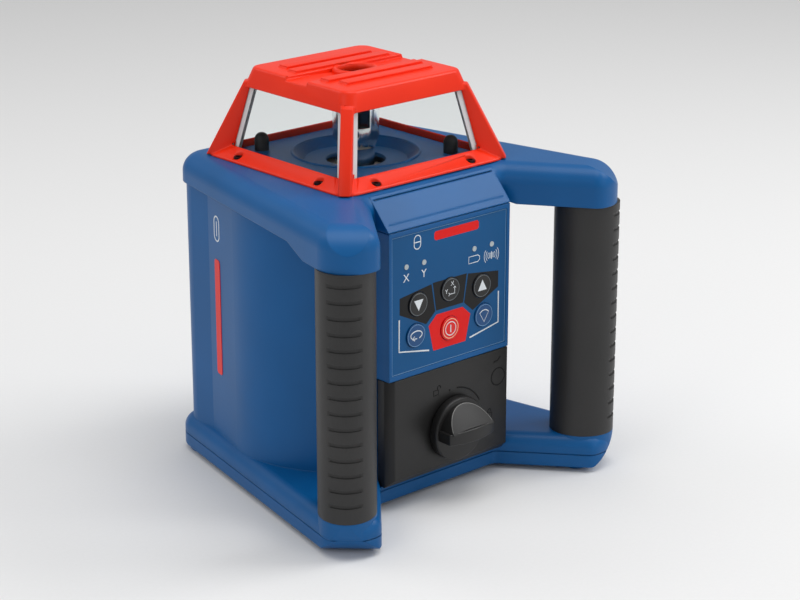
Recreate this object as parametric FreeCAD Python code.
import FreeCAD, Part
import math
import os

# Rotating laser level: one STEP file for each separate piece, in millimetres.
# X is to the instrument's right, -Y is its front and +Z is up. The origin is the centre of the
# tripod thread's face, which is level with the feet; the laser head turns about the Z axis.

V = FreeCAD.Vector

# ---- running clearances and walls ----
FIT = 0.05              # radial clearance of a shaft in its bearing
GAP = 0.35              # gap round a piece that slides or is dropped in
WALL = 3.0              # casing wall

# ---- plan of the casing ----
BACK_Y = 77.0           # back face
SIDE_MID = 80.8         # half width of the rim at Y = 0
FLARE = 0.206           # how much wider the rim gets for each millimetre forwards
BACK_R = 15.0           # back corners of the rim
FRONT_Y = -65.0         # front edge of the base between the handles
ARM_Y = -106.0          # front of the handle feet
ARM_CORNER_R = 8.0      # inner front corner of an arm
ARM_DROP_Y = (-54.0, -70.0)  # where the top cover's edge comes down to the arms
LOWER_ARM_IN = 76.0     # inner front corner of a lower arm
LOWER_ARM_ROOT = 41.0   # where the lower arm leaves the front edge
UPPER_ARM_IN = 76.0     # inner front corner of an upper arm
UPPER_ARM_ROOT = 44.5   # where the upper arm leaves the header
COVER_BACK_Y = 73.5     # back face of the top cover
COVER_SLIM = 2.0        # how much narrower than the rim its back is, each side
COVER_FRONT_Y = -63.0   # front edge of the top cover beside the header
WALL_BACK_Y = 72.0      # back face of the upright wall
CREASE = (66.0, 43.0)   # vertical crease in the side wall
CHEEK = (82.9, -21.1)   # where the two flats of the side wall would meet
CHEEK_R = 60.0          # their blend
WALL_FRONT_Y = -63.5    # front of the upright wall
MODULE_HALF = 41.9      # half width of the front module

# ---- heights ----
FOOT = 2.5              # feet below the base
PARTING_Z = 10.5        # joint of base cover and housing
RIM_Z = 20.0            # top of the lower rim and lower arms
WALL_TOP_Z = 154.0      # underside of the top cover's shoulder
ARM_UNDER_Z = WALL_TOP_Z - 5.5  # underside of the upper arms
CREST_Z = WALL_TOP_Z + 15.2  # top of the top cover
CAGE_TOP_Z = CREST_Z + 47.8  # top of the cage
RIM_ROUND = 7.0         # rounding of the lower rim
SHOULDER_ROUND = 10.0   # rounding of the shoulder
BASE_ROUND = 1.5        # lower edge of the base cover
SEAM = 0.6              # groove where base cover and housing meet
FRONT_FOOT_R = 12.0     # foot pads under the handles
FOOT_ROUND = 21.0       # rounding under the handle feet
ARM_ROUND = 19.0        # rounding over the handle tops

# ---- handles ----
GRIP_AT = (83.6, -88.7)  # axis of a grip
GRIP_OUT = 17.2         # half size of a grip along its outward diagonal
GRIP_SIDE = 14.8        # half size across the diagonal
GRIP_RIBS = 15          # finger grooves
RIB_START = 5.7         # from the top of the grip to its first groove
RIB_PITCH = 8.1
RIB_TALL = 2.0
RIB_DEEP = 0.9
RIB_REACH = 3.2         # how far round the grip a groove goes
RIB_HALF = 12.0         # half length of a groove
CORE_R = 10.0           # post inside the grip
CORE_BORE = 6.5
CORE_SEAT = 7.0         # how deep the post goes into each arm
CORE_BOSS = 2.5         # plastic round the post

# ---- tripod thread ----
THREAD_R = 6.8          # minor radius of the 5/8 inch thread
THREAD_LONG = 12.0
INSERT_R = 11.0
BOSS_R = 17.0

# ---- header and front module ----
MODULE_Y = -73.2        # front plane of module and battery door
MODULE_Z = (72.8, WALL_TOP_Z - 2.6)
HEADER_TOP = (-59.0, CREST_Z - 1.6)
HEADER_BOTTOM_Z = WALL_TOP_Z - 2.2
OVERLAY_HALF = 39.9
OVERLAY_Z = (75.5, WALL_TOP_Z - 5.1)
OVERLAY_THICK = 0.9
PLATE = 3.0             # front plate of the module

# ---- keys and lamps: X and Z on the panel ----
KEYS = {
    "key_down": (-22.3, 110.6),
    "key_axis": (0.0, 113.6),
    "key_up": (22.3, 110.6),
    "key_rotation": (-23.8, 94.2),
    "key_power": (0.0, 92.5),
    "key_scan": (23.8, 94.2),
}
KEY_R = 6.3
KEY_PROUD = 0.9
KEY_TRAVEL = 0.8
KEY_FLANGE = 1.2        # how far the key's flange reaches past its cap
KEY_PITCH = 16.4        # least distance between two keys
LAMPS = ((-30.0, 132.0), (-18.0, 132.0), (17.0, 131.7), (29.4, 131.7))
LAMP_R = 1.4
SWITCH = 6.0            # side of a key switch
SWITCH_TALL = 3.2
BOARD = 1.6             # circuit board thickness
CONTROL_BOARD_Y = -62.4  # front of the board behind the keys

# ---- battery drawer ----
CELL_R = 17.1
CELL_LONG = 61.5
CELL_AT = (17.6, 42.0)  # X and Z of the right-hand cell
DOOR_HALF = 41.9
DOOR_Z = (13.6, 72.4)
DOOR_BACK_Y = -64.0
DOOR_BEVEL = 4.0
DOOR_WALL = 2.5
TRAY_WALL = 1.6
TRAY_SIDE_Z = 54.0      # top of the tray's sides
BAY_WALL = 2.0
SPRING_LONG = 5.0

# ---- latch knob ----
KNOB_AT = (3.0, 37.5)   # X and Z
KNOB_R = 17.5
KNOB_DISC = 5.8         # how far the disc stands out of the door
KNOB_BAR = 16.6         # how far the bar stands out of the door
KNOB_BAR_WIDE = 6.4
SPINDLE_R = 4.0
TONGUE_LONG = 20.5
TONGUE_WIDE = 8.0
TONGUE_THICK = 1.8
TONGUE_PLAY = 0.3       # behind the front wall and before the tray

# ---- cage ----
CAGE_HALF = 56.8
CAGE_CORNER = 9.0
CAGE_IN_HALF = 48.6
CAGE_OPENING = 48.0     # half side of the hole that the hood stands in
CAGE_RISE = 6.0
CAGE_SEAT = 0.9         # flange under a screw head
BLADE = 6.4             # thickness of a corner post
BLADE_LOW = (65.4, 79.0)    # inner and outer distance from the axis at the flange
BLADE_TOP = (52.0, 58.8)    # the same at the roof
ROOF_HALF = 43.1
ROOF_TOP_HALF = 39.7
ROOF_Z = CREST_Z + 37.4
ROOF_CORNER = 7.0
ROOF_WALL = 2.4
ROOF_LEAN = 0.36        # how far its inside leans in for each millimetre up
ROOF_CHANNEL = 16.0     # width of the channel over the roof
ROOF_STEP = 2.2         # its depth
PORT_R = 9.5            # hole for the upward beam
SCREW_AT = (53.0, 32.6)  # the cage screws, from each axis
SCREW_R = 1.5
SCREW_HEAD_R = 2.3
SCREW_HEAD = 2.0
SCREW_LONG = 7.0
SCREW_BOSS = 2.0        # plastic round a screw

# ---- hood and deck ----
HOOD_HALF = 47.6        # outside of the panes at the bottom
HOOD_TOP_HALF = 40.2
HOOD_Z = (CREST_Z + 2.0, CREST_Z + 39.6)
PANE = 2.0
STRIP = 7.0             # corner strips
SEAL = 2.4
DECK_HALF = 45.0
DECK_TOP_Z = CREST_Z + 2.8
DECK_THICK = 2.0
BOWL_R = 32.0
BOWL_DEEP = 4.0
DECK_HOLE_R = 15.6
BUFFER_AT = 35.0
BUFFER_R = 3.8
BUFFER_TALL = 9.5

# ---- gimbal, tube and levelling drive ----
PIVOT_Z = WALL_TOP_Z - 20.0
TUBE_R = 13.0
TUBE_BORE = 9.0
TUBE_Z = (PIVOT_Z - 44.0, PIVOT_Z + 24.0)
RING_IN = 18.0
RING_OUT = 23.5
RING_TALL = 6.0
PIN_R = 2.0
POST_X = (28.0, 34.0)
POST_HALF = 4.5
FRAME_Z = (PIVOT_Z - 34.0, PIVOT_Z - 31.0)
FRAME_HALF = 52.0
FRAME_Y = (-34.0, 58.0)
FRAME_HOLE = 27.0
LEG_R = 4.5
LEG_SEAT = 1.5          # how deep a leg stands in the base cover
LEG_X = 46.0
LEG_Y = (-28.0, 44.0)
ARM_LONG = 42.0         # from the axis to the ball on an arm
ARM_THICK = 5.0
TUBE_ARM_Z = PIVOT_Z - 18.0
SCREW_OUT = 50.0        # from the axis to a lead screw
LEAD_R = 2.0
BALL_R = 2.6
BALL_PLAY = 0.45        # free play of a ball between the nut's jaws
BALL_SWING = 2.0        # how far a ball swings towards its screw
NUT_TALL = 14.0
NUT_WIDE = 12.0
LEVEL_MOTOR_R = 6.5
LEVEL_MOTOR_LONG = 18.0

# ---- rotor head and its drive ----
HEAD_R = 12.1
HEAD_Z = (CREST_Z + 10.8, CREST_Z + 35.4)
HEAD_FOOT_R = 9.6
ROTOR_R = 5.5
ROTOR_BORE = 3.6
ROTOR_FOOT_Z = PIVOT_Z + 15.0
BEARING_R = 9.0
BEARING_TALL = 5.0
GEAR_MODULE = 0.6
GEAR_TEETH = 60
PINION_TEETH = 15
GEAR_Z = (PIVOT_Z + 25.4, PIVOT_Z + 28.2)
BACKLASH = 0.25
DRIVE_MOTOR_R = 7.4
DRIVE_MOTOR_LONG = 15.0
APERTURE = 14.5         # width of the head's window
APERTURE_Z = (HEAD_Z[0] + 8.0, HEAD_Z[0] + 22.4)
APERTURE_TURN = math.radians(228.2)  # where the window looks at rest


# ---------------------------------------------------------------- shape helpers
def box(x, y, z):
    """Block between pairs of coordinates."""
    return Part.makeBox(x[1] - x[0], y[1] - y[0], z[1] - z[0], V(x[0], y[0], z[0]))


def rod(radius, start, end):
    """Cylinder between two points."""
    along = V(*end) - V(*start)
    return Part.makeCylinder(radius, along.Length, V(*start), along)


def pipe(outer, inner, start, end):
    """Hollow cylinder between two points."""
    return rod(outer, start, end).cut(rod(inner, start, end))


def mirror_x(shape):
    return shape.mirror(V(0, 0, 0), V(1, 0, 0))


def symmetric(corners):
    """Closed outline from the corners (x, y, radius) of its right-hand half."""
    left = [(-x, y, r) for x, y, r in reversed(corners)]
    return corners + left


def inset(corners, distance):
    """The same outline, moved inwards; the corners run clockwise from the back."""
    moved = []
    count = len(corners)
    for i in range(count):
        px, py, _ = corners[i - 1]
        x, y, r = corners[i]
        nx, ny, _ = corners[(i + 1) % count]
        a = V(x - px, y - py, 0).normalize()
        b = V(nx - x, ny - y, 0).normalize()
        turn = a.x * b.y - a.y * b.x
        normal_a = V(a.y, -a.x, 0)
        normal_b = V(b.y, -b.x, 0)
        shift = (normal_a + normal_b) * (distance / (1 + normal_a.dot(normal_b)))
        inner_r = r - distance if turn < 0 else r + distance
        moved.append((x + shift.x, y + shift.y, max(inner_r, 0.0) if r else 0.0))
    return moved


def outline_wire(corners, z):
    """Closed wire at height z with rounded corners."""
    edges = []
    ends = []
    count = len(corners)
    for i in range(count):
        px, py, _ = corners[i - 1]
        x, y, r = corners[i]
        nx, ny, _ = corners[(i + 1) % count]
        back = V(px - x, py - y, 0).normalize()
        ahead = V(nx - x, ny - y, 0).normalize()
        here = V(x, y, z)
        if r <= 0.0:
            ends.append((here, None, here))
            continue
        half = back.getAngle(ahead) / 2
        reach = r / math.tan(half)
        middle = (back + ahead).normalize()
        crown = here + middle * (r / math.sin(half) - r)
        ends.append((here + back * reach, crown, here + ahead * reach))
    for i, (first, crown, last) in enumerate(ends):
        if crown is not None:
            edges.append(Part.Arc(first, crown, last).toShape())
        following = ends[(i + 1) % count][0]
        if (following - last).Length > 1e-6:
            edges.append(Part.makeLine(last, following))
    return Part.Wire(edges)


def slab(corners, z):
    """Plate with the given outline between two heights."""
    face = Part.Face(outline_wire(corners, z[0]))
    return face.extrude(V(0, 0, z[1] - z[0]))


def square(half, radius):
    return [(half, half, radius), (half, -half, radius), (-half, -half, radius),
            (-half, half, radius)]


def frustum(half, z, radius):
    """Square block that narrows from half[0] at z[0] to half[1] at z[1]."""
    low = outline_wire(square(half[0], radius), z[0])
    high = outline_wire(square(half[1], radius), z[1])
    return Part.makeLoft([low, high], True, True)


def profile_x(points, x):
    """Outline in Y and Z, pushed along X between two places."""
    wire = Part.makePolygon([V(x[0], y, z) for y, z in points + points[:1]])
    return Part.Face(wire).extrude(V(x[1] - x[0], 0, 0))


def round_edges_at(shape, z, radius):
    """Round the outside edges that lie at height z."""
    edges = [e for e in shape.Edges
             if abs(e.BoundBox.ZMin - z) < 1e-4 and abs(e.BoundBox.ZMax - z) < 1e-4]
    return shape.makeFillet(radius, edges)


def export(name, *solids):
    """Write one node; more than one solid makes a group."""
    shape = solids[0] if len(solids) == 1 else Part.makeCompound(list(solids))
    if shape.ShapeType == "Compound" and len(shape.Solids) == 1:
        shape = shape.Solids[0]
    shape.exportStep("parts/" + name + ".step")


# ---------------------------------------------------------------- casing outlines
def side_x(y):
    """Half width of the rim at Y."""
    return SIDE_MID - FLARE * y


def rim_outline(back, arm_in, arm_root, front_y):
    """Trapezoid that flares forwards into the two handle arms."""
    half = [
        (back[0], back[1], BACK_R),
        (side_x(ARM_Y), ARM_Y, GRIP_OUT),
        (arm_in, ARM_Y, ARM_CORNER_R),
        (arm_root, front_y, 5.0),
    ]
    return symmetric(half)


def base_outline():
    return rim_outline((side_x(BACK_Y), BACK_Y), LOWER_ARM_IN, LOWER_ARM_ROOT, FRONT_Y)


def cover_outline():
    back = (side_x(COVER_BACK_Y) - COVER_SLIM, COVER_BACK_Y)
    return rim_outline(back, UPPER_ARM_IN, UPPER_ARM_ROOT, COVER_FRONT_Y)


def wall_outline():
    half = [
        (CREASE[0] - 2.0, WALL_BACK_Y, BACK_R - 1.0),
        (CREASE[0], CREASE[1], 0.0),
        (CHEEK[0], CHEEK[1], CHEEK_R),
        (MODULE_HALF, WALL_FRONT_Y, 0.0),
    ]
    return symmetric(half)


def under_cover(lift):
    """Everything below the top cover: level at the back, dropping to the arms in front."""
    far = 130.0
    low = PARTING_Z - 1.0
    points = [(far, low), (far, WALL_TOP_Z + lift), (ARM_DROP_Y[0], WALL_TOP_Z + lift),
              (ARM_DROP_Y[1], ARM_UNDER_Z + lift), (-far, ARM_UNDER_Z + lift), (-far, low)]
    step = box((-MODULE_HALF, MODULE_HALF), (MODULE_Y - 5.0, WALL_FRONT_Y + WALL + 2.0),
               (ARM_UNDER_Z - 5.0, HEADER_BOTTOM_Z + lift))
    return profile_x(points, (-far, far)).fuse(step)


def handle_round(radius, z, upwards, wall):
    """Cutter that rounds a handle's outer end, or the room a wall inside it."""
    outward = V(GRIP_AT[0], GRIP_AT[1], 0).normalize()
    tip = V(GRIP_AT[0], GRIP_AT[1], 0).Length + GRIP_OUT
    sign = 1.0 if upwards else -1.0
    deep = radius + 20.0
    block = Part.makeBox(deep, 120.0, deep, V(tip - radius, -60.0, -deep if not upwards else 0.0))
    centre = V(tip - radius, -60.0, 0.0)
    block.translate(V(0, 0, z - sign * radius))
    drum = Part.makeCylinder(radius - wall, 120.0, centre + V(0, 0, z - sign * radius), V(0, 1, 0))
    cutter = block.cut(drum)
    angle = math.degrees(math.atan2(outward.y, outward.x))
    cutter.rotate(V(0, 0, 0), V(0, 0, 1), angle)
    return cutter


def round_handles(shape, radius, z, upwards, wall=0.0):
    cutter = handle_round(radius, z, upwards, wall)
    return shape.cut(cutter).cut(mirror_x(cutter))


# ---------------------------------------------------------------- casing
def base_cover():
    """Shallow tray that closes the bottom, with four feet and the tripod boss."""
    floor_z = FOOT + WALL
    plate = round_edges_at(slab(base_outline(), (FOOT, PARTING_Z)), FOOT, BASE_ROUND)
    room = slab(inset(base_outline(), WALL), (floor_z, PARTING_Z))
    footprint = slab(inset(base_outline(), BASE_ROUND), (0.0, FOOT + 0.5))
    front_foot = (GRIP_AT[0], GRIP_AT[1], FRONT_FOOT_R)
    back_foot = (side_x(BACK_Y) - BACK_R, BACK_Y - BACK_R, BACK_R)
    for x, y, reach in (front_foot, back_foot):
        pad = rod(reach, (x, y, 0.0), (x, y, FOOT + 0.5)).common(footprint)
        plate = plate.fuse(pad).fuse(mirror_x(pad))
    post = rod(FOOT_ROUND, (GRIP_AT[0], GRIP_AT[1], floor_z), (GRIP_AT[0], GRIP_AT[1], PARTING_Z))
    post = post.common(room)
    plate = plate.cut(room).fuse(post).fuse(mirror_x(post))
    plate = plate.fuse(rod(BOSS_R, (0, 0, 0), (0, 0, THREAD_LONG + 2.0)))
    plate = plate.cut(rod(INSERT_R, (0, 0, -1.0), (0, 0, THREAD_LONG)))
    for x, y in leg_places():
        plate = plate.fuse(rod(LEG_R + 2.0, (x, y, FOOT + 1.0), (x, y, PARTING_Z)))
        plate = plate.cut(rod(LEG_R, (x, y, PARTING_Z - LEG_SEAT), (x, y, PARTING_Z)))
    plate = round_handles(plate, FOOT_ROUND, 0.0, False)
    seam = slab(base_outline(), (PARTING_Z - SEAM, PARTING_Z))
    plate = plate.cut(seam.cut(slab(inset(base_outline(), SEAM), (PARTING_Z - SEAM, PARTING_Z))))
    for x, y in base_screw_places():
        plate = plate.fuse(rod(SCREW_HEAD_R + 2.0, (x, y, FOOT + 1.0), (x, y, PARTING_Z)))
    for x, y in base_screw_places():
        plate = plate.cut(rod(SCREW_R, (x, y, 0.0), (x, y, PARTING_Z)))
        plate = plate.cut(rod(SCREW_HEAD_R + 0.3, (x, y, 0.0), (x, y, FOOT + SCREW_HEAD)))
    return plate.removeSplitter()


def thread_insert():
    """Brass insert with the tripod thread, drawn as a plain bore at the minor radius."""
    body = pipe(INSERT_R, THREAD_R, (0, 0, 0), (0, 0, THREAD_LONG))
    groove = pipe(INSERT_R, INSERT_R - 1.0, (0, 0, 5.0), (0, 0, 7.0))
    return body.cut(groove)


def base_screw_places():
    back = (CREASE[0] - WALL - SCREW_R - 2.0, BACK_Y - 21.0)
    front = (GRIP_AT[0] - 18.0, FRONT_Y + 5.5)
    return [(sx * x, y) for x, y in (back, front) for sx in (1, -1)]


def bay_box(grow):
    """Space of the battery bay, grown by a wall."""
    half = tray_half() + GAP + grow
    bottom = CELL_AT[1] - CELL_R - TRAY_WALL - GAP - grow
    top = CELL_AT[1] + CELL_R + GAP + grow
    back = cell_front() + CELL_LONG + SPRING_LONG + grow
    return box((-half, half), (WALL_FRONT_Y - 5.0, back), (bottom, top))


def cell_front():
    """Front end of the cells, just behind the latch tongue and the tray's front wall."""
    return tongue_y()[1] + TONGUE_PLAY + TRAY_WALL


def tray_half():
    return CELL_AT[0] + CELL_R + 0.4 + TRAY_WALL


def tongue_notch():
    """Open channel that the latch tongue passes through."""
    reach = TONGUE_LONG + 1.5
    half = TONGUE_WIDE / 2 + 0.6
    return box((KNOB_AT[0] - half, KNOB_AT[0] + half), (WALL_FRONT_Y - 9.0, WALL_FRONT_Y + 8.0),
               (KNOB_AT[1] - reach, KNOB_AT[1]))


def main_housing():
    """One moulding: lower rim with both lower arms, and the upright wall."""
    rim = round_edges_at(slab(base_outline(), (PARTING_Z, RIM_Z)), RIM_Z, RIM_ROUND)
    wall = slab(wall_outline(), (PARTING_Z, WALL_TOP_Z + 2.0))
    body = rim.fuse(wall)
    for side in (1, -1):
        body = body.fuse(at_handle(grip_column(0.0, (PARTING_Z, RIM_Z)), side))
    body = round_handles(body, FOOT_ROUND, 0.0, False)
    cavity = slab(inset(wall_outline(), WALL), (PARTING_Z, WALL_TOP_Z + 2.0))
    arms = slab(inset(base_outline(), WALL + 2.0), (PARTING_Z, RIM_Z - WALL))
    body = body.cut(cavity).cut(arms)
    socket_z = (PARTING_Z, RIM_Z - 0.5)
    for side in (1, -1):
        x, y = side * GRIP_AT[0], GRIP_AT[1]
        body = body.fuse(rod(CORE_R + CORE_BOSS, (x, y, socket_z[0]), (x, y, socket_z[1])))
        body = body.cut(rod(CORE_R, (x, y, RIM_Z - CORE_SEAT), (x, y, RIM_Z + 1.0)))
    for x, y in base_screw_places():
        body = body.fuse(rod(SCREW_R + SCREW_BOSS, (x, y, PARTING_Z), (x, y, RIM_Z - 1.0)))
        body = body.cut(rod(SCREW_R, (x, y, PARTING_Z), (x, y, RIM_Z - 2.0)))
    body = body.common(under_cover(0.0)).cut(header_block(0.0))
    door_way = box((-DOOR_HALF - 0.5, DOOR_HALF + 0.5), (-130.0, WALL_FRONT_Y - 0.3),
                   (DOOR_Z[0] - 0.6, 120.0))
    body = body.cut(door_way).cut(bay_box(BAY_WALL)).cut(tongue_notch())
    window_half = OVERLAY_HALF - 3.0
    body = body.cut(box((-window_half, window_half), (-80.0, WALL_FRONT_Y + WALL + 1.0),
                        (OVERLAY_Z[0] + 2.0, OVERLAY_Z[1] - 2.0)))
    return body.removeSplitter()


def header_block(grow):
    """Slanted header over the front module."""
    y_top, z_top = HEADER_TOP
    points = [(-52.0, HEADER_BOTTOM_Z + grow), (MODULE_Y + grow, HEADER_BOTTOM_Z + grow),
              (MODULE_Y + grow, HEADER_BOTTOM_Z + grow + 0.4), (y_top + grow, z_top - grow),
              (-52.0, CREST_Z - grow)]
    half = MODULE_HALF + 0.3 - grow
    return profile_x(points, (-half, half))


def top_cover():
    """Shoulder, upper arms and header in one moulding, open inside."""
    outer = slab(cover_outline(), (ARM_UNDER_Z, CREST_Z))
    outer = round_edges_at(outer, CREST_Z, SHOULDER_ROUND)
    outer = round_handles(outer, ARM_ROUND, CREST_Z, True)
    outer = outer.cut(under_cover(0.0)).fuse(header_block(0.0))
    room = slab(inset(cover_outline(), WALL + 2.0), (ARM_UNDER_Z, CREST_Z - WALL))
    room = round_handles(room, ARM_ROUND, CREST_Z, True, WALL)
    room = room.cut(under_cover(WALL))
    core_room = slab(inset(wall_outline(), WALL), (ARM_UNDER_Z - 1.0, CREST_Z - WALL))
    outer = outer.cut(room).cut(core_room).cut(header_block(2.6))
    hole = DECK_HALF + GAP
    outer = outer.cut(slab(square(hole, 4.0), (CREST_Z - 8.0, CREST_Z + 1.0)))
    for side in (1, -1):
        x, y = side * GRIP_AT[0], GRIP_AT[1]
        boss_top = ARM_UNDER_Z + CORE_SEAT + WALL
        outer = outer.fuse(rod(CORE_R + CORE_BOSS, (x, y, ARM_UNDER_Z), (x, y, boss_top)))
        outer = outer.cut(rod(CORE_R, (x, y, ARM_UNDER_Z - 1.0), (x, y, ARM_UNDER_Z + CORE_SEAT)))
    for x, y in cage_screw_places():
        low = CREST_Z + CAGE_SEAT - SCREW_LONG
        outer = outer.fuse(rod(SCREW_R + SCREW_BOSS, (x, y, low - SCREW_BOSS), (x, y, CREST_Z)))
        outer = outer.cut(rod(SCREW_R, (x, y, low - 0.5), (x, y, CREST_Z)))
    return outer.removeSplitter()


def handle_core(side):
    """Hollow post that joins a lower arm to an upper arm."""
    x, y = side * GRIP_AT[0], GRIP_AT[1]
    low = (x, y, RIM_Z - CORE_SEAT)
    high = (x, y, ARM_UNDER_Z + CORE_SEAT)
    return pipe(CORE_R, CORE_BORE, low, high)


def grip_column(shrink, z):
    """Oval column between two heights, its long axis along X."""
    ring = Part.Ellipse(V(0, 0, z[0]), GRIP_OUT - shrink, GRIP_SIDE - shrink).toShape()
    return Part.Face(Part.Wire([ring])).extrude(V(0, 0, z[1] - z[0]))


def at_handle(shape, side):
    """Turn a shape's X axis to the outward diagonal and stand it at a handle."""
    placed = shape.copy()
    placed.rotate(V(0, 0, 0), V(0, 0, 1), math.degrees(math.atan2(GRIP_AT[1], GRIP_AT[0])))
    placed.translate(V(GRIP_AT[0], GRIP_AT[1], 0))
    return placed if side > 0 else mirror_x(placed)


def grip(side):
    """Rubber sleeve, oval along the outward diagonal, with grooves on its outer face."""
    sleeve = grip_column(0.0, (RIM_Z, ARM_UNDER_Z))
    sleeve = sleeve.cut(rod(CORE_R, (0, 0, RIM_Z), (0, 0, ARM_UNDER_Z)))
    for i in range(GRIP_RIBS):
        z = ARM_UNDER_Z - RIB_START - i * RIB_PITCH
        band = (z - RIB_TALL / 2, z + RIB_TALL / 2)
        groove = box((GRIP_OUT - RIB_REACH, GRIP_OUT + 1.0), (-RIB_HALF, RIB_HALF), band)
        sleeve = sleeve.cut(groove.cut(grip_column(RIB_DEEP, band)))
    return at_handle(sleeve, side)


# ---------------------------------------------------------------- cage and hood
def quarter_turns(shape):
    """The shape and its three copies round the Z axis."""
    copies = []
    for i in range(4):
        copy = shape.copy()
        copy.rotate(V(0, 0, 0), V(0, 0, 1), 90.0 * i)
        copies.append(copy)
    return copies


def cage_screw_places():
    a, b = SCREW_AT
    return [(sx * p, sy * q) for p, q in ((a, b), (b, a)) for sx in (1, -1) for sy in (1, -1)]


def cage():
    """Guard over the head: sloping flange, four corner blades and the roof."""
    flange = frustum((CAGE_HALF, CAGE_IN_HALF), (CREST_Z + 1.0, CREST_Z + CAGE_RISE), CAGE_CORNER)
    flange = flange.fuse(slab(square(CAGE_HALF, CAGE_CORNER), (CREST_Z, CREST_Z + 1.0)))
    opening = slab(square(CAGE_OPENING, 5.0), (CREST_Z - 1.0, CREST_Z + CAGE_RISE + 1.0))
    roof = frustum((ROOF_HALF, ROOF_TOP_HALF), (ROOF_Z, CAGE_TOP_Z), ROOF_CORNER)
    roof = round_edges_at(roof, CAGE_TOP_Z, 2.0)
    shape = flange
    for blade in quarter_turns(cage_blade()):
        shape = shape.fuse(blade)
    shape = shape.cut(opening).fuse(roof).cut(roof_room((ROOF_Z, roof_ceiling()), 0.0))
    shape = shape.cut(hood_space(0.25))
    half = ROOF_CHANNEL / 2
    shape = shape.cut(box((-60, 60), (-half, half), (CAGE_TOP_Z - ROOF_STEP, CAGE_TOP_Z + 1)))
    shape = shape.cut(rod(PORT_R, (0, 0, ROOF_Z), (0, 0, CAGE_TOP_Z + 1.0)))
    seat_z = CREST_Z + CAGE_SEAT
    for x, y in cage_screw_places():
        shape = shape.cut(rod(SCREW_R, (x, y, CREST_Z), (x, y, seat_z)))
        shape = shape.cut(rod(SCREW_HEAD_R + 0.2, (x, y, seat_z), (x, y, CREST_Z + 9.0)))
    return shape.removeSplitter()


def roof_ceiling():
    """Height of the roof's underside."""
    return CAGE_TOP_Z - ROOF_STEP - ROOF_WALL


def roof_room(z, shrink):
    """Hollow of the roof between two heights, or what fits in it."""
    half = [ROOF_HALF - ROOF_WALL - shrink - ROOF_LEAN * (level - ROOF_Z) for level in z]
    return frustum(half, z, ROOF_CORNER - ROOF_WALL)


def cage_blade():
    """One corner post, a thin plate that stands along the diagonal."""
    z_low = CREST_Z + 0.6
    z_high = ROOF_Z + 3.0
    points = [V(BLADE_LOW[0], 0, z_low), V(BLADE_LOW[1], 0, z_low),
              V(BLADE_TOP[1] - 0.6, 0, z_high), V(BLADE_TOP[0], 0, z_high)]
    face = Part.Face(Part.makePolygon(points + points[:1]))
    blade = face.extrude(V(0, BLADE, 0))
    blade.translate(V(0, -BLADE / 2, 0))
    blade.rotate(V(0, 0, 0), V(0, 0, 1), 45.0)
    return blade


def cage_screws():
    """Eight recessed screws that hold the cage to the top cover."""
    seat_z = CREST_Z + CAGE_SEAT
    screws = []
    for x, y in cage_screw_places():
        shank = rod(SCREW_R, (x, y, seat_z - SCREW_LONG), (x, y, seat_z))
        head = rod(SCREW_HEAD_R, (x, y, seat_z), (x, y, seat_z + SCREW_HEAD))
        socket = rod(1.2, (x, y, seat_z + 0.6), (x, y, seat_z + SCREW_HEAD))
        screws.append(shank.fuse(head).cut(socket))
    return screws


def hood_space(grow):
    """The whole hood as one block, grown outwards."""
    return frustum((HOOD_HALF + grow, HOOD_TOP_HALF + grow), HOOD_Z, 2.0 + grow)


def hood_shell():
    inner = frustum((HOOD_HALF - PANE, HOOD_TOP_HALF - PANE), HOOD_Z, 0.8)
    return hood_space(0.0).cut(inner)


def pane_region():
    """Cross-shaped block that takes the panes out of the hood and leaves its corners."""
    low = HOOD_HALF - STRIP
    high = HOOD_TOP_HALF - STRIP
    region = None
    for along in (0, 1):
        sections = []
        for half, z in ((low, HOOD_Z[0]), (high, HOOD_Z[1])):
            a, b = (half, 80.0) if along == 0 else (80.0, half)
            points = [V(a, b, z), V(-a, b, z), V(-a, -b, z), V(a, -b, z), V(a, b, z)]
            sections.append(Part.makePolygon(points))
        bar = Part.makeLoft(sections, True, True)
        region = bar if region is None else region.fuse(bar)
    return region


def window_panes():
    return hood_shell().common(pane_region()).Solids


def window_mullions():
    return hood_shell().cut(pane_region()).Solids


def lower_seal():
    """Black gasket that the panes stand on."""
    outer = slab(square(CAGE_OPENING - 0.2, 4.8), (CREST_Z, HOOD_Z[0]))
    return outer.cut(slab(square(DECK_HALF + GAP, 2.5), (CREST_Z, HOOD_Z[0])))


def upper_seal():
    """Black gasket between the panes and the roof."""
    z = (HOOD_Z[1], roof_ceiling())
    inner = HOOD_TOP_HALF - PANE - SEAL
    return roof_room(z, 0.15).cut(slab(square(inner, 3.0), z))


def plumb_window():
    """Glass disc under the hole in the roof."""
    z = roof_ceiling()
    return rod(PORT_R + 2.0, (0, 0, z - 2.0), (0, 0, z))


def head_deck():
    """Plate inside the hood with a round bowl for the head to stand in."""
    top = DECK_TOP_Z
    low = top - BOWL_DEEP
    plate = slab(square(DECK_HALF, 3.6), (top - DECK_THICK, top))
    plate = plate.fuse(rod(BOWL_R + 1.0, (0, 0, low - DECK_THICK), (0, 0, top)))
    bowl = Part.makeCone(BOWL_R - 5.0, BOWL_R, BOWL_DEEP, V(0, 0, low))
    plate = plate.cut(bowl)
    plate = plate.cut(rod(DECK_HOLE_R, (0, 0, low - 5.0), (0, 0, top)))
    skirt = slab(square(DECK_HALF, 3.6), (CREST_Z - 8.0, top - DECK_THICK))
    skirt = skirt.cut(slab(square(DECK_HALF - 2.0, 2.0), (CREST_Z - 8.0, top)))
    return plate.fuse(skirt).removeSplitter()


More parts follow.
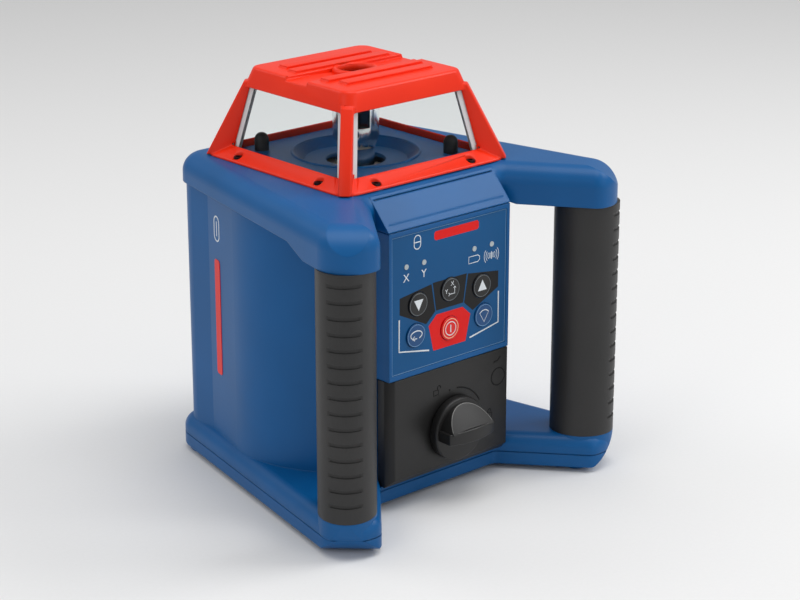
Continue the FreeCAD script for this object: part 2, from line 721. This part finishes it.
def hood_buffers():
    """Rubber buffers on the deck."""
    buffers = []
    for x in (BUFFER_AT, -BUFFER_AT):
        for y in (BUFFER_AT, -BUFFER_AT):
            low = (x, y, DECK_TOP_Z)
            stem = rod(BUFFER_R, low, (x, y, DECK_TOP_Z + BUFFER_TALL - BUFFER_R))
            crown = Part.makeSphere(BUFFER_R, V(x, y, DECK_TOP_Z + BUFFER_TALL - BUFFER_R))
            buffers.append(stem.fuse(crown))
    return buffers


# ---------------------------------------------------------------- front module
def panel_frame():
    """Front module that carries the overlay, keys and lamps."""
    front = MODULE_Y
    back = WALL_FRONT_Y
    body = box((-MODULE_HALF, MODULE_HALF), (front, back), MODULE_Z)
    inner = MODULE_HALF - 2.4
    body = body.cut(box((-inner, inner), (front + PLATE, back), (MODULE_Z[0] + 2.4, MODULE_Z[1] - 2.4)))
    body = body.cut(box((-OVERLAY_HALF, OVERLAY_HALF), (front - 1.0, front + OVERLAY_THICK), OVERLAY_Z))
    return cut_key_holes(body).removeSplitter()


def cut_key_holes(body):
    for x, z in KEYS.values():
        body = body.cut(rod(KEY_R + 0.25, (x, MODULE_Y - 1, z), (x, MODULE_Y + PLATE + 1, z)))
    for x, z in LAMPS:
        body = body.cut(rod(LAMP_R, (x, MODULE_Y - 1, z), (x, MODULE_Y + PLATE + 1, z)))
    return body


def keypad_overlay():
    """Printed film in the recess of the module."""
    margin = 0.15
    back = MODULE_Y + OVERLAY_THICK
    film = box((-OVERLAY_HALF + margin, OVERLAY_HALF - margin), (back - 0.5, back),
               (OVERLAY_Z[0] + margin, OVERLAY_Z[1] - margin))
    return cut_key_holes(film)


def key(x, z):
    """Round key cap with its flange and stem."""
    front = MODULE_Y + OVERLAY_THICK - 0.5 - KEY_PROUD
    plate_back = MODULE_Y + PLATE
    cap = rod(KEY_R, (x, front, z), (x, plate_back + 0.1, z))
    cap = cap.makeFillet(0.5, [e for e in cap.Edges if e.BoundBox.YMax < front + 0.01])
    flange_r = min(KEY_R + KEY_FLANGE, KEY_PITCH / 2 - 0.2)
    flange = rod(flange_r, (x, plate_back + 0.1, z), (x, plate_back + 1.1, z))
    tip_y = CONTROL_BOARD_Y - SWITCH_TALL - KEY_TRAVEL - 0.1
    stem = rod(2.0, (x, plate_back + 1.1, z), (x, tip_y, z))
    return cap.fuse(flange).fuse(stem).removeSplitter()


def key_switches():
    y = (CONTROL_BOARD_Y - SWITCH_TALL, CONTROL_BOARD_Y)
    half = SWITCH / 2
    return [box((x - half, x + half), y, (z - half, z + half)) for x, z in KEYS.values()]


def status_lamps():
    front = MODULE_Y + OVERLAY_THICK - 0.5 - 0.3
    return [rod(LAMP_R, (x, front, z), (x, CONTROL_BOARD_Y, z)) for x, z in LAMPS]


def control_board():
    half = MODULE_HALF - 6.0
    return box((-half, half), (CONTROL_BOARD_Y, CONTROL_BOARD_Y + BOARD),
               (OVERLAY_Z[0] + 3.0, OVERLAY_Z[1] - 3.0))


# ---------------------------------------------------------------- battery drawer
def battery_drawer():
    """Door, bevelled below and on its left, and the tray that carries two D cells."""
    front = MODULE_Y
    door = box((-DOOR_HALF, DOOR_HALF), (front, DOOR_BACK_Y), DOOR_Z)
    bevelled = []
    for e in door.Edges:
        b = e.BoundBox
        if abs(b.YMax - front) < 1e-6 and b.ZMin < DOOR_Z[1] - 1e-6 and b.XMin < 0:
            bevelled.append(e)
    door = door.makeChamfer(DOOR_BEVEL, bevelled)
    room = box((-DOOR_HALF + DOOR_WALL + 2.0, DOOR_HALF - DOOR_WALL - 2.0),
               (front + DOOR_WALL, DOOR_BACK_Y), (DOOR_Z[0] + DOOR_WALL + 3, DOOR_Z[1] - DOOR_WALL))
    door = door.cut(room)
    x, z = KNOB_AT
    door = door.fuse(rod(SPINDLE_R + 3.0, (x, front, z), (x, DOOR_BACK_Y + 1.5, z)))
    tray_front = cell_front() - TRAY_WALL
    half = tray_half()
    bottom = CELL_AT[1] - CELL_R - TRAY_WALL
    back = cell_front() + CELL_LONG
    tray = box((-half, half), (tray_front, back), (bottom, TRAY_SIDE_Z))
    well = box((-half + TRAY_WALL, half - TRAY_WALL), (cell_front(), back),
               (bottom + TRAY_WALL, TRAY_SIDE_Z))
    tray = tray.cut(well)
    for side in (-1, 1):
        a, b = sorted((side * (half - TRAY_WALL), side * half))
        tray = tray.fuse(box((a, b), (front + DOOR_WALL, tray_front), (bottom, TRAY_SIDE_Z)))
    drawer = door.fuse(tray)
    drawer = drawer.cut(rod(SPINDLE_R + FIT, (x, front - 1, z), (x, DOOR_BACK_Y + 3, z)))
    return drawer.removeSplitter()


def latch_knob():
    """Disc with a thumb bar and the spindle that goes through the door."""
    x, z = KNOB_AT
    face = MODULE_Y - 0.3
    disc_y = MODULE_Y - KNOB_DISC
    disc = Part.makeCone(KNOB_R, KNOB_R - 2.2, face - disc_y, V(x, face, z), V(0, -1, 0))
    half = KNOB_BAR_WIDE / 2
    bar = box((x - KNOB_R + 2.2, x + KNOB_R - 2.2), (MODULE_Y - KNOB_BAR, disc_y),
              (z - half, z + half))
    bar = bar.makeFillet(2.0, [e for e in bar.Edges if e.BoundBox.YMax < disc_y - 1.0])
    spindle = rod(SPINDLE_R, (x, face, z), (x, tongue_y()[0], z))
    return disc.fuse(bar).fuse(spindle).removeSplitter()


def tongue_y():
    """The tongue turns just behind the housing's front wall."""
    front = WALL_FRONT_Y + WALL + TONGUE_PLAY
    return (front, front + TONGUE_THICK)


def latch_tongue():
    """Tongue on the spindle's end; it points down when the door is locked."""
    x, z = KNOB_AT
    y = tongue_y()
    half = TONGUE_WIDE / 2
    bar = box((x - half, x + half), y, (z - TONGUE_LONG, z))
    hub = rod(SPINDLE_R + 2.0, (x, y[0], z), (x, y[1], z))
    return bar.fuse(hub).removeSplitter()


def cell(side):
    """D cell with its raised positive cap."""
    x, z = side * CELL_AT[0], CELL_AT[1]
    cap = 1.5
    start, end = cell_front(), cell_front() + CELL_LONG
    if side < 0:
        body = rod(CELL_R, (x, start + cap, z), (x, end, z))
        nub = rod(4.75, (x, start, z), (x, start + cap, z))
    else:
        body = rod(CELL_R, (x, start, z), (x, end - cap, z))
        nub = rod(4.75, (x, end - cap, z), (x, end, z))
    return body.fuse(nub).removeSplitter()


def battery_bay():
    """Open box that the drawer runs in."""
    inner = bay_box(0.0)
    shell = bay_box(BAY_WALL).cut(inner)
    behind_tongue = tongue_y()[1] + TONGUE_PLAY
    roof_only = box((-80.0, 80.0), (WALL_FRONT_Y + WALL, 80.0), (TRAY_SIDE_Z, 90.0))
    keep = box((-80.0, 80.0), (behind_tongue, 80.0), (0.0, 90.0)).fuse(roof_only)
    return shell.common(keep).removeSplitter()


def battery_contacts():
    """Two spring contacts on the back of the bay."""
    back = cell_front() + CELL_LONG + SPRING_LONG
    contacts = []
    for side in (1, -1):
        x, z = side * CELL_AT[0], CELL_AT[1]
        plate = box((x - 7.0, x + 7.0), (back - 0.6, back), (z - 8.0, z + 8.0))
        end = cell_front() + CELL_LONG + 0.4
        coil = pipe(4.5, 3.3, (x, end, z), (x, back - 0.6, z))
        contacts.append(plate.fuse(coil))
    return contacts


# ---------------------------------------------------------------- levelling
def leg_places():
    return [(sx * LEG_X, y) for sx in (1, -1) for y in LEG_Y]


def levelling_frame():
    """Cast frame: plate on four legs, and two posts that carry the gimbal ring."""
    plate = box((-FRAME_HALF, FRAME_HALF + 4.0), FRAME_Y, FRAME_Z)
    plate = plate.cut(rod(FRAME_HOLE, (0, 0, FRAME_Z[0]), (0, 0, FRAME_Z[1])))
    for x, y in leg_places():
        plate = plate.fuse(rod(LEG_R, (x, y, PARTING_Z - LEG_SEAT), (x, y, FRAME_Z[1])))
    for side in (1, -1):
        a, b = sorted((side * POST_X[0], side * POST_X[1]))
        post = box((a, b), (-POST_HALF, POST_HALF), (FRAME_Z[0], PIVOT_Z + 5.0))
        plate = plate.fuse(post)
    bore = rod(PIN_R + FIT, (-60, 0, PIVOT_Z), (60, 0, PIVOT_Z))
    plate = plate.cut(bore)
    for x, y in lead_places():
        plate = plate.cut(rod(LEAD_R + FIT, (x, y, FRAME_Z[0]), (x, y, FRAME_Z[1])))
    return plate.removeSplitter()


def lead_places():
    """X-tilt screw behind the tube, Y-tilt screw to its right."""
    return [(0.0, SCREW_OUT), (SCREW_OUT, 0.0)]


def gimbal_ring():
    """Ring that tilts about X on two pins and carries the tube on a Y axis."""
    z = (PIVOT_Z - RING_TALL / 2, PIVOT_Z + RING_TALL / 2)
    ring = pipe(RING_OUT, RING_IN, (0, 0, z[0]), (0, 0, z[1]))
    for side in (1, -1):
        ring = ring.fuse(rod(PIN_R, (side * (RING_OUT - 1.0), 0, PIVOT_Z),
                             (side * (POST_X[1] + 1.0), 0, PIVOT_Z)))
    arm = box((-ARM_THICK / 2, ARM_THICK / 2), (RING_OUT - 1.0, ARM_LONG), (PIVOT_Z - 2, PIVOT_Z + 2))
    ball = Part.makeSphere(BALL_R, V(0, ARM_LONG, PIVOT_Z))
    ring = ring.fuse(arm).fuse(ball)
    ring = ring.cut(rod(PIN_R + FIT, (0, -60, PIVOT_Z), (0, RING_OUT + 1.0, PIVOT_Z)))
    return ring.removeSplitter()


def laser_tube():
    """Aluminium tube: bearing seat and motor plate above, laser module inside."""
    tube = pipe(TUBE_R, TUBE_BORE, (0, 0, TUBE_Z[0]), (0, 0, TUBE_Z[1]))
    flange_z = (TUBE_Z[1] - 2.0, TUBE_Z[1])
    flange = rod(TUBE_R + 2.0, (0, 0, flange_z[0]), (0, 0, flange_z[1]))
    flange = flange.fuse(rod(DRIVE_MOTOR_R + 1.0, (0, motor_y(), flange_z[0]),
                             (0, motor_y(), flange_z[1])))
    tube = tube.fuse(flange.cut(rod(TUBE_BORE, (0, 0, 0), (0, 0, 200))))
    tube = tube.cut(rod(2.2, (0, motor_y(), flange_z[0]), (0, motor_y(), flange_z[1])))
    tube = tube.cut(rod(DRIVE_MOTOR_R + GAP, (0, motor_y(), TUBE_Z[0]),
                        (0, motor_y(), flange_z[0])))
    for side in (1, -1):
        tube = tube.fuse(rod(PIN_R, (0, side * (TUBE_R - 1.0), PIVOT_Z),
                             (0, side * (RING_OUT - 1.5), PIVOT_Z)))
    return tube.fuse(tube_arm()).removeSplitter()


def tube_arm():
    """Arm that steps round the frame's post to its ball."""
    z = (TUBE_ARM_Z - 2.0, TUBE_ARM_Z + 2.0)
    side = POST_HALF + 3.6
    out = POST_X[1] + 2.4
    first = box((TUBE_R - 5.0, out + 3.0), (-side - 4.0, -side), z)
    first = first.cut(rod(TUBE_BORE, (0, 0, 0), (0, 0, 200)))
    second = box((out, out + 3.0), (-side - 4.0, 2.0), z)
    third = box((out, ARM_LONG), (-2.0, 2.0), z)
    ball = Part.makeSphere(BALL_R, V(ARM_LONG, 0, TUBE_ARM_Z))
    return first.fuse(second).fuse(third).fuse(ball)


def lead_nut(turned, height):
    """Block on the lead screw with two jaws that take an arm's ball."""
    half = NUT_WIDE / 2
    jaw = BALL_R + BALL_PLAY
    body = box((SCREW_OUT - 3.8, SCREW_OUT + 3.8), (-half, half),
               (height - NUT_TALL / 2, height + NUT_TALL / 2))
    jaws = box((ARM_LONG - 4.0, SCREW_OUT - 3.0), (-half, half),
               (height - jaw - 2.4, height + jaw + 2.4))
    slot = box((ARM_LONG - 5.0, ARM_LONG + BALL_R + BALL_SWING), (-half - 1, half + 1),
               (height - jaw, height + jaw))
    body = body.fuse(jaws).cut(slot)
    body = body.cut(rod(LEAD_R + FIT, (SCREW_OUT, 0, height - 20), (SCREW_OUT, 0, height + 20)))
    if turned:
        body.rotate(V(0, 0, 0), V(0, 0, 1), 90.0)
    return body.removeSplitter()


def lead_screw(place, height):
    """Screw with a collar under the frame's plate; the thread is drawn plain."""
    x, y = place
    top = height + NUT_TALL / 2 + 6.0
    screw = rod(LEAD_R, (x, y, FRAME_Z[0] - 4.0), (x, y, top))
    return screw.fuse(rod(LEAD_R + 1.2, (x, y, FRAME_Z[1] + 0.3), (x, y, FRAME_Z[1] + 2.0)))


def levelling_motor(place):
    """Small can motor that hangs under the frame's plate."""
    x, y = place
    top = FRAME_Z[0]
    low = top - LEVEL_MOTOR_LONG
    can = rod(LEVEL_MOTOR_R, (x, y, low), (x, y, top))
    return can.cut(rod(LEAD_R + FIT, (x, y, top - 4.5), (x, y, top)))


# ---------------------------------------------------------------- head and drive
def motor_y():
    """Centre distance of the gear pair."""
    return GEAR_MODULE * (GEAR_TEETH + PINION_TEETH) / 2


def gear(teeth, centre, z, turn):
    """Spur wheel with plain tapered teeth, thinner than full by the backlash."""
    pitch_r = GEAR_MODULE * teeth / 2
    root_r = pitch_r - 1.25 * GEAR_MODULE
    tip_r = pitch_r + 0.85 * GEAR_MODULE
    width = math.pi * GEAR_MODULE / 2 - BACKLASH
    low, mid, high = width * 1.45, width, width * 0.45
    wheel = rod(root_r, (centre[0], centre[1], z[0]), (centre[0], centre[1], z[1]))
    profile = [(root_r - 0.3, low / 2), (pitch_r, mid / 2), (tip_r, high / 2),
               (tip_r, -high / 2), (pitch_r, -mid / 2), (root_r - 0.3, -low / 2)]
    points = [V(a, b, z[0]) for a, b in profile]
    tooth = Part.Face(Part.makePolygon(points + points[:1])).extrude(V(0, 0, z[1] - z[0]))
    cut_teeth = []
    for i in range(teeth):
        one = tooth.copy()
        one.rotate(V(0, 0, 0), V(0, 0, 1), turn + 360.0 * i / teeth)
        one.translate(V(centre[0], centre[1], 0))
        cut_teeth.append(one)
    return wheel.fuse(cut_teeth).removeSplitter()


def head_gear():
    """Wheel on the rotor, driven by the motor's pinion."""
    wheel = gear(GEAR_TEETH, (0, 0), GEAR_Z, 90.0)
    return wheel.cut(rod(ROTOR_R, (0, 0, GEAR_Z[0] - 1), (0, 0, GEAR_Z[1] + 1)))


def motor_pinion():
    """Pinion on its shaft; a gap of it faces a tooth of the wheel."""
    place = (0.0, motor_y())
    half_tooth = 180.0 / PINION_TEETH
    wheel = gear(PINION_TEETH, place, GEAR_Z, -90.0 + half_tooth)
    shaft = rod(1.0, (0, motor_y(), TUBE_Z[1] - 10.0), (0, motor_y(), GEAR_Z[1]))
    return wheel.fuse(shaft).removeSplitter()


def drive_motor():
    """Can motor under the tube's plate."""
    top = TUBE_Z[1] - 2.0
    can = rod(DRIVE_MOTOR_R, (0, motor_y(), top - DRIVE_MOTOR_LONG), (0, motor_y(), top))
    return can.cut(rod(1.0 + FIT, (0, motor_y(), top - 9.0), (0, motor_y(), top)))


def head_bearing():
    """Bearing that carries the rotor in the tube's mouth."""
    z = (TUBE_Z[1] - BEARING_TALL, TUBE_Z[1])
    return pipe(BEARING_R, ROTOR_R + FIT, (0, 0, z[0]), (0, 0, z[1]))


def rotor():
    """Hollow shaft and flange that carry the gear and the head."""
    foot = HEAD_Z[0] - 5.0
    shaft = rod(ROTOR_R, (0, 0, ROTOR_FOOT_Z), (0, 0, foot))
    flange = rod(HEAD_FOOT_R, (0, 0, GEAR_Z[1] + 0.2), (0, 0, foot))
    return shaft.fuse(flange).cut(rod(ROTOR_BORE, (0, 0, 0), (0, 0, 250))).removeSplitter()


def head_housing():
    """Turned aluminium head with the window opening and the prism's room."""
    foot = HEAD_Z[0] - 5.0
    body = rod(HEAD_R, (0, 0, HEAD_Z[0]), (0, 0, HEAD_Z[1]))
    cone = Part.makeCone(HEAD_FOOT_R, HEAD_R, HEAD_Z[0] - foot, V(0, 0, foot))
    body = body.fuse(cone)
    body = body.cut(rod(ROTOR_BORE, (0, 0, 150), (0, 0, 250)))
    half = APERTURE / 2
    room = box((-7.5, HEAD_R + 2), (-half, half), (APERTURE_Z[0] - 1.0, APERTURE_Z[1]))
    room.rotate(V(0, 0, 0), V(0, 0, 1), math.degrees(APERTURE_TURN))
    return body.cut(room).cut(screw_hole()).removeSplitter()


def facing(distance, z):
    """Point on the side of the head that looks out at rest."""
    return (distance * math.cos(APERTURE_TURN), distance * math.sin(APERTURE_TURN), z)


def screw_hole():
    return rod(1.5, facing(HEAD_R - 4.0, HEAD_Z[0] + 3.2), facing(HEAD_R + 1.0, HEAD_Z[0] + 3.2))


def head_screw():
    """Grub screw that clamps the head to the rotor."""
    screw = rod(1.5, facing(HEAD_R - 4.0, HEAD_Z[0] + 3.2), facing(HEAD_R - 0.4, HEAD_Z[0] + 3.2))
    socket = rod(0.7, facing(HEAD_R - 1.6, HEAD_Z[0] + 3.2), facing(HEAD_R, HEAD_Z[0] + 3.2))
    return screw.cut(socket)


def head_prism():
    """Pentaprism that turns the beam level."""
    low = APERTURE_Z[0] - 1.0
    half = APERTURE / 2 - 0.4
    points = [V(-7.0, 0, low), V(5.5, 0, low), V(5.5, 0, low + 12.5), V(-2.6, 0, low + 14.0),
              V(-7.0, 0, low + 5.2)]
    prism = Part.Face(Part.makePolygon(points + points[:1])).extrude(V(0, 2 * half, 0))
    prism.translate(V(0, -half, 0))
    prism.rotate(V(0, 0, 0), V(0, 0, 1), math.degrees(APERTURE_TURN))
    return prism


def head_window():
    """Flat glass in the head's opening."""
    half = APERTURE / 2
    glass = box((7.6, 8.8), (-half, half), (APERTURE_Z[0] - 1.0, APERTURE_Z[1]))
    glass.rotate(V(0, 0, 0), V(0, 0, 1), math.degrees(APERTURE_TURN))
    return glass


def laser_module():
    """Diode in its brass barrel at the foot of the tube."""
    z = (TUBE_Z[0], TUBE_Z[0] + 22.0)
    barrel = pipe(TUBE_BORE, 3.0, (0, 0, z[0] + 4.0), (0, 0, z[1]))
    return barrel.fuse(rod(TUBE_BORE, (0, 0, z[0]), (0, 0, z[0] + 4.0))).removeSplitter()


def collimator_lens():
    z = TUBE_Z[0] + 30.0
    return rod(TUBE_BORE, (0, 0, z), (0, 0, z + 3.5))


def level_vials():
    """Two sealed vials on the tube, one for each axis."""
    z = TUBE_Z[0] + 8.0
    r = 2.6
    off = TUBE_R + r
    return [rod(r, (-9.0, -off, z), (9.0, -off, z)), rod(r, (-off, -9.0, z + 8.0), (-off, 9.0, z + 8.0))]


def main_board():
    """Circuit board on the back wall, with its larger parts."""
    y = WALL_BACK_Y - WALL - 6.0
    board = box((-48.0, 48.0), (y - BOARD, y), (24.0, 92.0))
    solids = [board]
    for x, z, w, h, t in ((-20, 44, 14, 14, 2.0), (18, 54, 20, 10, 3.0), (-30, 74, 12, 8, 5.0),
                          (34, 76, 10, 16, 8.0)):
        solids.append(box((x, x + w), (y - BOARD - t, y - BOARD), (z, z + h)))
    return solids


# ---------------------------------------------------------------- write the nodes
def build():
    os.makedirs("parts", exist_ok=True)
    export("base_cover", base_cover())
    export("thread_insert", thread_insert())
    export("main_housing", main_housing())
    export("top_cover", top_cover())
    for word, side in (("left", -1), ("right", 1)):
        export("handle_core_" + word, handle_core(side))
        export("grip_" + word, grip(side))
        export("battery_" + word, cell(side))
    export("cage", cage())
    export("cage_screws", *cage_screws())
    export("window_panes", *window_panes())
    export("window_mullions", *window_mullions())
    export("lower_seal", lower_seal())
    export("upper_seal", upper_seal())
    export("plumb_window", plumb_window())
    export("head_deck", head_deck())
    export("hood_buffers", *hood_buffers())
    export("panel_frame", panel_frame())
    export("keypad_overlay", keypad_overlay())
    for name, place in KEYS.items():
        export(name, key(*place))
    export("key_switches", *key_switches())
    export("status_lamps", *status_lamps())
    export("control_board", control_board())
    export("battery_drawer", battery_drawer())
    export("latch_knob", latch_knob())
    export("latch_tongue", latch_tongue())
    export("battery_bay", battery_bay())
    export("battery_contacts", *battery_contacts())
    export("levelling_frame", levelling_frame())
    export("gimbal_ring", gimbal_ring())
    export("laser_tube", laser_tube())
    heights = (PIVOT_Z, TUBE_ARM_Z)
    for axis, place, height in zip("xy", lead_places(), heights):
        export("lead_nut_" + axis, lead_nut(axis == "x", height))
        export("lead_screw_" + axis, lead_screw(place, height))
        export("levelling_motor_" + axis, levelling_motor(place))
    export("head_bearing", head_bearing())
    export("rotor", rotor())
    export("head_gear", head_gear())
    export("motor_pinion", motor_pinion())
    export("drive_motor", drive_motor())
    export("head_housing", head_housing())
    export("head_prism", head_prism())
    export("head_window", head_window())
    export("head_screw", head_screw())
    export("laser_module", laser_module())
    export("collimator_lens", collimator_lens())
    export("level_vials", *level_vials())
    export("main_board", *main_board())


build()
